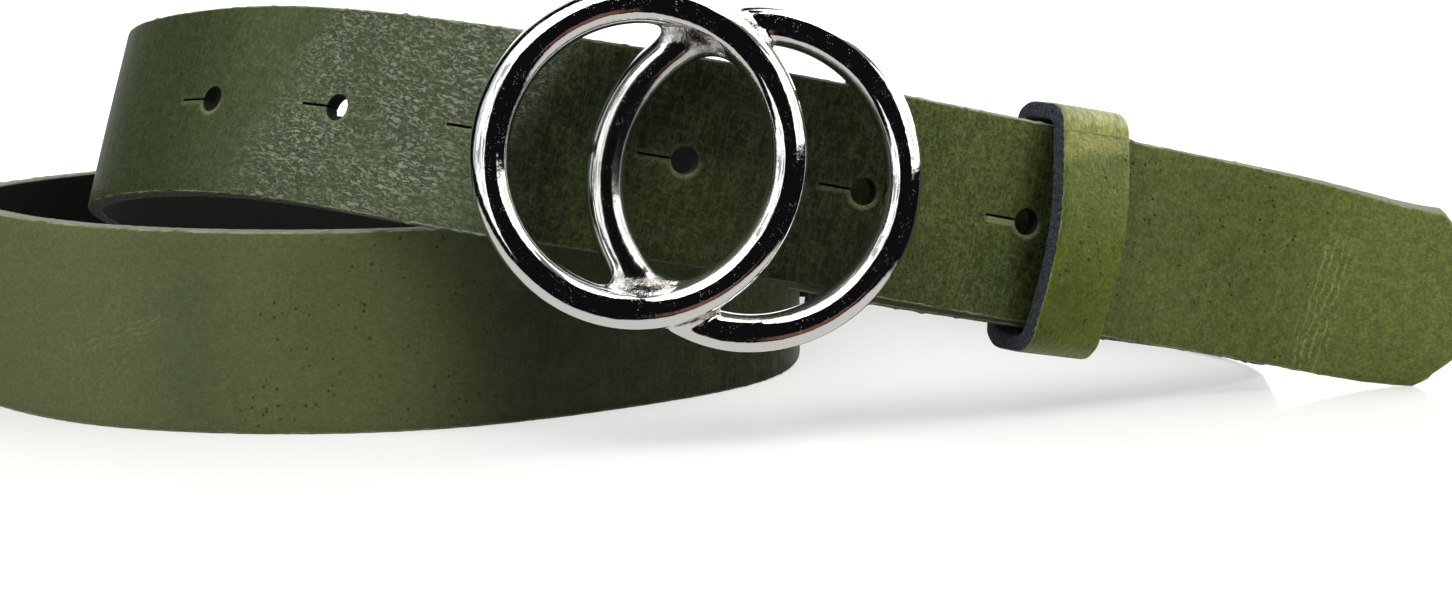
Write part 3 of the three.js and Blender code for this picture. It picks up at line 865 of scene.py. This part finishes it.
def keeper_mesh():
    loop, away, even = keeper_loop()
    quarter = np.linspace(0, math.pi / 2, 4)
    half, r = KEEPER_WIDTH / 2, KEEPER_ROUND
    across = np.linspace(-half + r, half - r, 15)
    profile = [(w, 1.0, 0.0, 0.0) for w in across]
    profile += [(half - r + r * math.sin(a), 1 - r * (1 - math.cos(a)) / KEEPER_LEATHER,
                 [0, 0.3, 0.7, 1][k], 0.0) for k, a in enumerate(quarter)][1:]
    profile += [(half, d, 1.0, 0.0) for d in (0.7, 0.5, 0.3)]
    profile += [(half - r + r * math.cos(a), r * (1 - math.sin(a)) / KEEPER_LEATHER, 1.0, 0.0)
                for a in quarter][:-1]
    profile += [(w, 0.0, 0.0, 1.0) for w in across[::-1]]
    profile += [(-w, d, raw, 0.0) for w, d, raw, _ in profile[15:24]][::-1]
    mid, along, up, inward, _ = strap_at(np.array([KEEPER_AT]))
    turn = np.array([math.cos(KEEPER_TILT), math.sin(KEEPER_TILT)])
    tilted_up = up[0] * turn[0] + np.cross(inward[0], up[0]) * turn[1]
    tilted_along = along[0] * turn[0] + np.cross(inward[0], along[0]) * turn[1]
    n, m = LOOP_POINTS, len(profile)
    places = np.zeros((n * m, 3))
    values = {k: np.zeros(n * m) for k in ("along", "across", "raw", "flesh")}
    for k, (w, depth, raw, flesh) in enumerate(profile):
        edge = math.copysign(1, w) if raw > 0.2 else 0
        fuzz = [KEEPER_FUZZ * edge * noise.noise((s / 0.9, depth * 2.2, edge)) for s in even]
        slant = KEEPER_CUT_SLANT * depth * max(w, 0) / half
        flat = loop + away * depth * KEEPER_LEATHER
        at = slice(k, n * m, m)
        places[at] = (mid[0] + flat[:, 1:] * tilted_up + flat[:, :1] * inward[0]
                      + (w - slant + np.array(fuzz)[:, None]) * tilted_along)
        values["along"][at] = even
        values["across"][at] = w
        values["raw"][at] = raw
        values["flesh"][at] = flesh
    faces = []
    for i in range(n):
        for k in range(m):
            a, b = i * m, ((i + 1) % n) * m
            q = (k + 1) % m
            faces.append((a + k, b + k, b + q, a + q))
    return mesh_object("leather_keeper", places, faces, values)


keeper = keeper_mesh()

KEEPER_DARK = (0.068, 0.098, 0.003, 1)
KEEPER_LIGHT = (0.118, 0.152, 0.007, 1)
# pale of the painted highlight on the keeper's top
KEEPER_HIGHLIGHT = (0.42, 0.42, 0.13, 1)
WRINKLE_PALE = (0.27, 0.30, 0.08, 1)
SLATE_DARK = (0.008, 0.011, 0.015, 1)
SLATE_LIGHT = (0.085, 0.105, 0.130, 1)
HIGHLIGHT_HEIGHTS = (48, 51.5, 4)


def keeper_material():
    material, tree, shader = new_material("keeper_leather")
    flat = flat_place(tree)
    grain = use_group(tree, leather_grain, {"Place": flat, "Wrinkle Size": 0.5, "Pore Size": 0.3})
    solid = solid_place(tree)
    edge = use_group(tree, raw_edge, {"Place": solid, "Rawness": value_of(tree, "raw")})
    colour = colours(tree, step_between(tree, grain["Clouds"], 0.3, 0.7), KEEPER_DARK, KEEPER_LIGHT)
    # painted highlight where it turns over the top
    above_floor = add_node(tree, "SeparateXYZ", {0: solid}).outputs["Z"]
    keeper_highlight = times(tree, window(tree, above_floor, *HIGHLIGHT_HEIGHTS),
                   step_between(tree, clouds(tree, flat, 0.35, 3.0, 0.6), 0.3, 0.6, 0.25, 0.6))
    colour = colours(tree, keeper_highlight, colour, KEEPER_HIGHLIGHT)
    wrinkles = lines_on(tree, flat, 1.0, 1.8, 70.0, 0.12, 0.45)
    colour = colours(tree, times(tree, wrinkles, 0.14), colour, WRINKLE_PALE)
    shade = step_between(tree, grain["Speckle"], 0.34, 0.66, 0.66, 1.34)
    colour = colours(tree, 1.0, colour, shade, "MULTIPLY")
    colour = colours(tree, times(tree, grain["Pores"], 0.6), colour, PORE_DARK)
    colour = colours(tree, times(tree, edge["Frayed"], 0.4), colour, FRAYED_LIGHT)
    fibres = colours(tree, edge["Fibres"], SLATE_DARK, SLATE_LIGHT)
    bare = most(tree, edge["Mask"], value_of(tree, "flesh"))
    colour = colours(tree, bare, colour, fibres)
    tree.links.new(colour, shader.inputs["Base Color"])
    tree.links.new(step_between(tree, bare, 0.0, 1.0, 0.34, 0.95), shader.inputs["Roughness"])
    folds = maths(tree, "MULTIPLY_ADD", wrinkles, -0.5, grain["Height"])
    height = add_node(tree, "Mix", {0: bare, 2: folds, 3: edge["Fibres"]}, data_type="FLOAT").outputs[0]
    bump = add_node(tree, "Bump", {"Strength": 1.0, "Distance": 0.00012, "Height": height})
    tree.links.new(bump.outputs[0], shader.inputs["Normal"])
    shader.inputs["Specular IOR Level"].default_value = 0.45
    return material


keeper.data.materials.append(keeper_material())
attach(keeper, "root")
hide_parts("keeper")


# Double ring buckle: a zinc casting, polished and nickel plated. Two rings lie one over the other
# and run together in soft fillets; behind them are the bar and the headed peg, cast on.
RING_TUBE = 3.25
RING_YAW = math.radians(14)
RING_LEAN = math.radians(2.4)
INNER_FILLET = 4.4
OUTER_FILLET = 1.8
HIGHEST_FILLET = 2.4
BAR_HALF = 20.8
BAR_RADIUS = 1.5
BRACKET_RADIUS = 1.3
BRACKET_PAST_BAR = 0.9
PEG_HOLE = 3
PEG_RADIUS = 1.6
PEG_HEAD = (2.7, 2.3, 4.3)

toward = np.array([math.sin(RING_YAW) * math.cos(RING_LEAN), -math.cos(RING_YAW) * math.cos(RING_LEAN),
                   math.sin(RING_LEAN)])
ring_across = ring_centres[1] - ring_centres[0]
ring_across = unit(ring_across - ring_across.dot(toward) * toward)
ring_up = np.cross(toward, ring_across)


def ring_distance(p, k):
    """Distance from a ring's surface, negative inside the metal."""
    off = p - ring_centres[k]
    height = off @ toward
    flat = np.linalg.norm(off - height[:, None] * toward, axis=1)
    return np.hypot(flat - ring_radii[k], height) - RING_TUBE


def joined_distance(p):
    """Distance from both rings run together, with larger fillets inside the front ring."""
    off = p - ring_centres[0]
    reach = np.linalg.norm(off - (off @ toward)[:, None] * toward, axis=1)
    fillet = INNER_FILLET + (OUTER_FILLET - INNER_FILLET) * smooth((reach - ring_radii[0]) / 2 + 0.5)
    a, b = ring_distance(p, 0), ring_distance(p, 1)
    near = np.clip(1 - np.abs(a - b) / fillet, 0, None)
    return np.minimum(a, b) - near**2 * fillet / 4


def ring_mesh(k, around=420, tube=56):
    turn = np.linspace(0, 2 * math.pi, around, endpoint=False)
    out = np.cos(turn)[:, None] * ring_across + np.sin(turn)[:, None] * ring_up
    small = np.linspace(0, 2 * math.pi, tube, endpoint=False)
    normal = (out[:, None] * np.cos(small)[None, :, None] + toward * np.sin(small)[None, :, None])
    base = (ring_centres[k] + out * ring_radii[k])[:, None] + normal * RING_TUBE
    p, normal = base.reshape(-1, 3), normal.reshape(-1, 3)
    low, high = np.zeros(len(p)), np.full(len(p), HIGHEST_FILLET)
    for _ in range(24):
        middle = (low + high) / 2
        inside = joined_distance(p + normal * middle[:, None]) < 0
        low, high = np.where(inside, middle, low), np.where(inside, high, middle)
    lift = (low + high) / 2
    if k == 0:
        lift *= smooth((0.35 - normal @ toward) / 0.5)
    moved = p + normal * lift[:, None]
    deeper = ring_distance(moved, k) - ring_distance(moved, 1 - k)
    lift = lift - 0.5 * smooth((deeper - 0.15) / 0.6)
    places = p + normal * lift[:, None]
    faces = []
    for i in range(around):
        for j in range(tube):
            a, b, n = i * tube, ((i + 1) % around) * tube, (j + 1) % tube
            faces.append((a + j, b + j, b + n, a + n))
    return places, faces, np.clip(lift, 0, None)


def rod_mesh(start, end, radius, sides=28):
    """A round rod with its ends softly rounded."""
    axis = unit(end - start)
    side = unit(np.cross(axis, [0.3, 0.5, 0.8]))
    other = np.cross(axis, side)
    length = np.linalg.norm(end - start)
    soft = min(radius * 0.35, length / 4)
    steps = [(0, radius - soft)]
    steps += [(soft * (1 - math.cos(a)), radius - soft + soft * math.sin(a)) for a in (0.5, 1.0, 1.57)]
    steps += [(length - x, r) for x, r in steps[::-1]]
    turn = np.linspace(0, 2 * math.pi, sides, endpoint=False)
    circle = np.cos(turn)[:, None] * side + np.sin(turn)[:, None] * other
    places = np.vstack([start + axis * x + circle * r for x, r in steps])
    faces = [tuple(range(sides))[::-1], tuple(range((len(steps) - 1) * sides, len(steps) * sides))]
    for i in range(len(steps) - 1):
        for j in range(sides):
            a, b, n = i * sides, (i + 1) * sides, (j + 1) % sides
            faces.append((a + j, b + j, b + n, a + n))
    return places, faces, np.zeros(len(places))


def buckle_mesh():
    mid, _, up, inward, _ = strap_at(np.array([RUN_LENGTH]))
    bar_middle = mid[0] + inward[0] * FOLD_RADIUS
    bar_ends = [bar_middle + up[0] * side * BAR_HALF for side in (1, -1)]
    angle = math.asin(BAR_HALF / ring_radii[1])
    parts = [ring_mesh(0), ring_mesh(1)]
    polished = sum(len(p) for p, _, _ in parts)
    parts.append(rod_mesh(*bar_ends, BAR_RADIUS))
    for side, bar_end in zip((1, -1), bar_ends):
        on_ring = ring_centres[1] + ring_radii[1] * (
            math.cos(angle) * ring_across + side * math.sin(angle) * ring_up)
        past_bar = bar_end - unit(on_ring - bar_end) * BRACKET_PAST_BAR
        parts.append(rod_mesh(on_ring, past_bar, BRACKET_RADIUS))
    mid, _, _, inward, _ = strap_at(np.array([FIRST_HOLE + PEG_HOLE * HOLE_PITCH]))
    reach = (mid[0] - ring_centres[0]).dot(toward) / inward[0].dot(toward)
    radius, near, far = PEG_HEAD
    parts.append(rod_mesh(mid[0] - inward[0] * reach, mid[0] + inward[0] * far, PEG_RADIUS))
    parts.append(rod_mesh(mid[0] + inward[0] * near, mid[0] + inward[0] * far, radius))
    places, faces, lifts, start = [], [], [], 0
    for p, f, lift in parts:
        places.append(p)
        faces += [tuple(v + start for v in q) for q in f]
        lifts.append(lift)
        start += len(p)
    places = np.vstack(places)
    off = places - ring_centres[0]
    reach = np.linalg.norm(off - (off @ toward)[:, None] * toward, axis=1)
    in_lens = (np.arange(start) >= polished / 2) * smooth((ring_radii[0] - reach) / 3)
    dull = np.where(np.arange(start) >= polished, 1.0, 0.22 * in_lens)
    values = {"fillet": np.concatenate(lifts), "dull": dull}
    return mesh_object("ring_buckle", places, faces, values)


buckle = buckle_mesh()

NICKEL = (0.83, 0.825, 0.81, 1)
SOLDERED = (0.60, 0.57, 0.52, 1)
DULL_SKIN = (0.055, 0.055, 0.05, 1)


def buckle_material():
    material, tree, shader = new_material("nickel_plate")
    solid = solid_place(tree)
    soldered = step_between(tree, value_of(tree, "fillet"), 0.08, 0.6)
    shader.inputs["Metallic"].default_value = 1.0
    stained = times(tree, soldered, step_between(tree, clouds(tree, solid, 0.5), 0.45, 0.6))
    colour = colours(tree, stained, NICKEL, SOLDERED)
    # behind the strap the casting keeps its dull skin, and inside the front ring it is less polished
    dull = value_of(tree, "dull")
    colour = colours(tree, dull, colour, DULL_SKIN)
    tree.links.new(colour, shader.inputs["Base Color"])
    rough = maths(tree, "MULTIPLY_ADD", soldered, 0.10, 0.04)
    tree.links.new(maths(tree, "MULTIPLY_ADD", dull, 0.4, rough), shader.inputs["Roughness"])
    waves = times(tree, clouds(tree, solid, 0.3, 2.0, 0.5), 0.9)
    orange_peel = maths(tree, "MULTIPLY_ADD", clouds(tree, solid, 2.4, 2.0, 0.6), 0.09, waves)
    pits = add_node(tree, "TexVoronoi", {"Vector": solid, "Scale": 3.2})
    small = step_between(tree, pits.outputs["Distance"], 0.05, 0.16, 1.0, 0.0)
    sparse = step_between(tree, clouds(tree, solid, 0.5), 0.45, 0.62)
    height = maths(tree, "MULTIPLY_ADD", times(tree, small, sparse), -0.28, orange_peel)
    lumps = times(tree, clouds(tree, solid, 1.5, 3.0, 0.7), 2.2)
    height = maths(tree, "MULTIPLY_ADD", lumps, soldered, height)
    bump = add_node(tree, "Bump", {"Strength": 1.0, "Distance": 0.00007, "Height": height})
    tree.links.new(bump.outputs[0], shader.inputs["Normal"])
    return material


buckle.data.materials.append(buckle_material())
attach(buckle, "root")
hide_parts("double_ring_buckle")


# Studio: a glossy white table in a white room. Soft boxes stand at the left, above and at the right,
# and the camera's side is dark, which the polished rings show as black bands.
FLOOR_HALF = 6.0
LEFT_BOX = 1.6
TOP_BOX = 2.2
RIGHT_BOX = 2.8
BACK_WALL = 1.5
TABLE_LIGHT = (0.64, 0.63, 0.60)
RED_WALL = (0.17, 0.075, 0.05)
TABLE_WHITE = (0.56, 0.56, 0.56, 1)
TABLE_GLOW = 0.46
# Places of the boxes in degrees, round from the camera's side and above the horizon: start, end,
# and how far the border fades beyond them
RIGHT_BOX_HEIGHTS = (1, 70, 4)
WEDGE_ROUND = (36, 92, 5)
WEDGE_HEIGHTS = (27, 38, 4)
TOP_BOX_ROUND = (-90, 115, 10)
BEHIND_HEIGHTS = (-3, 40, 15)
RED_WALL_ROUND = (34, 44, 6)
RED_WALL_HEIGHTS = (-34, -20, 5)

floor_mesh = bpy.data.meshes.new("floor")
floor_corners = [(x * FLOOR_HALF, y * FLOOR_HALF, 0) for x, y in ((-1, -1), (1, -1), (1, 1), (-1, 1))]
floor_mesh.from_pydata(floor_corners, [], [(0, 1, 2, 3)])
floor = bpy.data.objects.new("floor", floor_mesh)
bpy.context.scene.collection.objects.link(floor)
floor.visible_glossy = False
floor_material, floor_tree, floor_shader = new_material("white_table")
floor_shader.inputs["Base Color"].default_value = TABLE_WHITE
floor_shader.inputs["Roughness"].default_value = 0.09
floor_shader.inputs["IOR"].default_value = 1.25
floor_shader.inputs["Emission Color"].default_value = (1, 1, 1, 1)
seen = add_node(floor_tree, "LightPath").outputs["Is Camera Ray"]
floor_tree.links.new(times(floor_tree, seen, TABLE_GLOW), floor_shader.inputs["Emission Strength"])
floor.data.materials.append(floor_material)

world = bpy.data.worlds.new("studio")
bpy.context.scene.world = world
world.use_nodes = True
sky = world.node_tree
looking = add_node(sky, "TexCoord").outputs["Generated"]
direction = add_node(sky, "SeparateXYZ", {0: looking}).outputs
to_front = times(sky, direction["Y"], -1.0)
# degrees round from the camera's side toward the right, and degrees above the horizon
azimuth = maths(sky, "DEGREES", maths(sky, "ARCTAN2", direction["X"], to_front))
elevation = maths(sky, "DEGREES", maths(sky, "ARCSINE", direction["Z"]))


def beyond(value, edge, soft):
    """0 below an edge, 1 above it."""
    off = maths(sky, "SUBTRACT", value, edge)
    return step_between(sky, off, -soft, soft)


def short_of(value, edge, soft):
    return maths(sky, "SUBTRACT", 1.0, beyond(value, edge, soft))


def ramp(value, low, high, to_low, to_high):
    return add_node(sky, "MapRange", {0: value, 1: low, 2: high, 3: to_low, 4: to_high}).outputs[0]


left_low = ramp(azimuth, -100.0, -25.0, -3.0, -33.0)
left_end = ramp(elevation, 33.0, 75.0, -24.0, 66.0)
left_box = times(sky, beyond(azimuth, -101.0, 2.5), short_of(azimuth, left_end, 2.0),
                 beyond(elevation, left_low, 2.0))
wedge = times(sky, window(sky, azimuth, *WEDGE_ROUND), window(sky, elevation, *WEDGE_HEIGHTS))
right_box = times(sky, beyond(azimuth, ramp(elevation, 0.0, 20.0, 48.0, 68.0), 2.5),
                  window(sky, elevation, *RIGHT_BOX_HEIGHTS),
                  maths(sky, "SUBTRACT", 1.0, times(sky, wedge, 0.9)),
                  short_of(azimuth, 150.0, 10.0))
behind = times(sky, beyond(maths(sky, "ABSOLUTE", azimuth), 145.0, 12.0),
               window(sky, elevation, *BEHIND_HEIGHTS))
below_left = ramp(azimuth, -100.0, -15.0, -20.0, -60.0)
below_right = ramp(azimuth, 20.0, 55.0, 0.0, 30.0)
table = short_of(elevation, maths(sky, "ADD", below_left, below_right), 3.0)
red_wall = times(sky, window(sky, azimuth, *RED_WALL_ROUND), window(sky, elevation, *RED_WALL_HEIGHTS))
top_box = times(sky, beyond(elevation, 42.0, 6.0), window(sky, azimuth, *TOP_BOX_ROUND),
                most(sky, left_box, right_box))
# folds in the cloth of the boxes
folds = step_between(sky, clouds(sky, looking, 5.5, 3.0, 0.6, 0.8), 0.40, 0.5, 0.25, 1.0)
left_box = times(sky, left_box, folds, ramp(azimuth, -102.0, -62.0, 0.25, 1.0))
right_box = times(sky, right_box, folds)
light = add_node(sky, "VectorMath", {0: (0.005, 0.005, 0.006)}, operation="ADD")
for mask, shade in (
    (left_box, (LEFT_BOX, LEFT_BOX, LEFT_BOX)),
    (top_box, (TOP_BOX, TOP_BOX, TOP_BOX * 0.94)),
    (right_box, (RIGHT_BOX, RIGHT_BOX * 0.98, RIGHT_BOX * 0.92)),
    (behind, (BACK_WALL, BACK_WALL, BACK_WALL)),
    (table, TABLE_LIGHT),
    (red_wall, RED_WALL),
):
    added = add_node(sky, "VectorMath", {0: shade, "Scale": mask}, operation="SCALE").outputs[0]
    light = add_node(sky, "VectorMath", {0: light.outputs[0], 1: added}, operation="ADD")
seen = add_node(sky, "LightPath").outputs["Is Camera Ray"]
background = sky.nodes["Background"]
sky.links.new(colours(sky, seen, light.outputs[0], (1, 1, 1, 1)), background.inputs["Color"])
background.inputs["Strength"].default_value = 1.0

bpy.context.scene.view_settings.view_transform = "Standard"
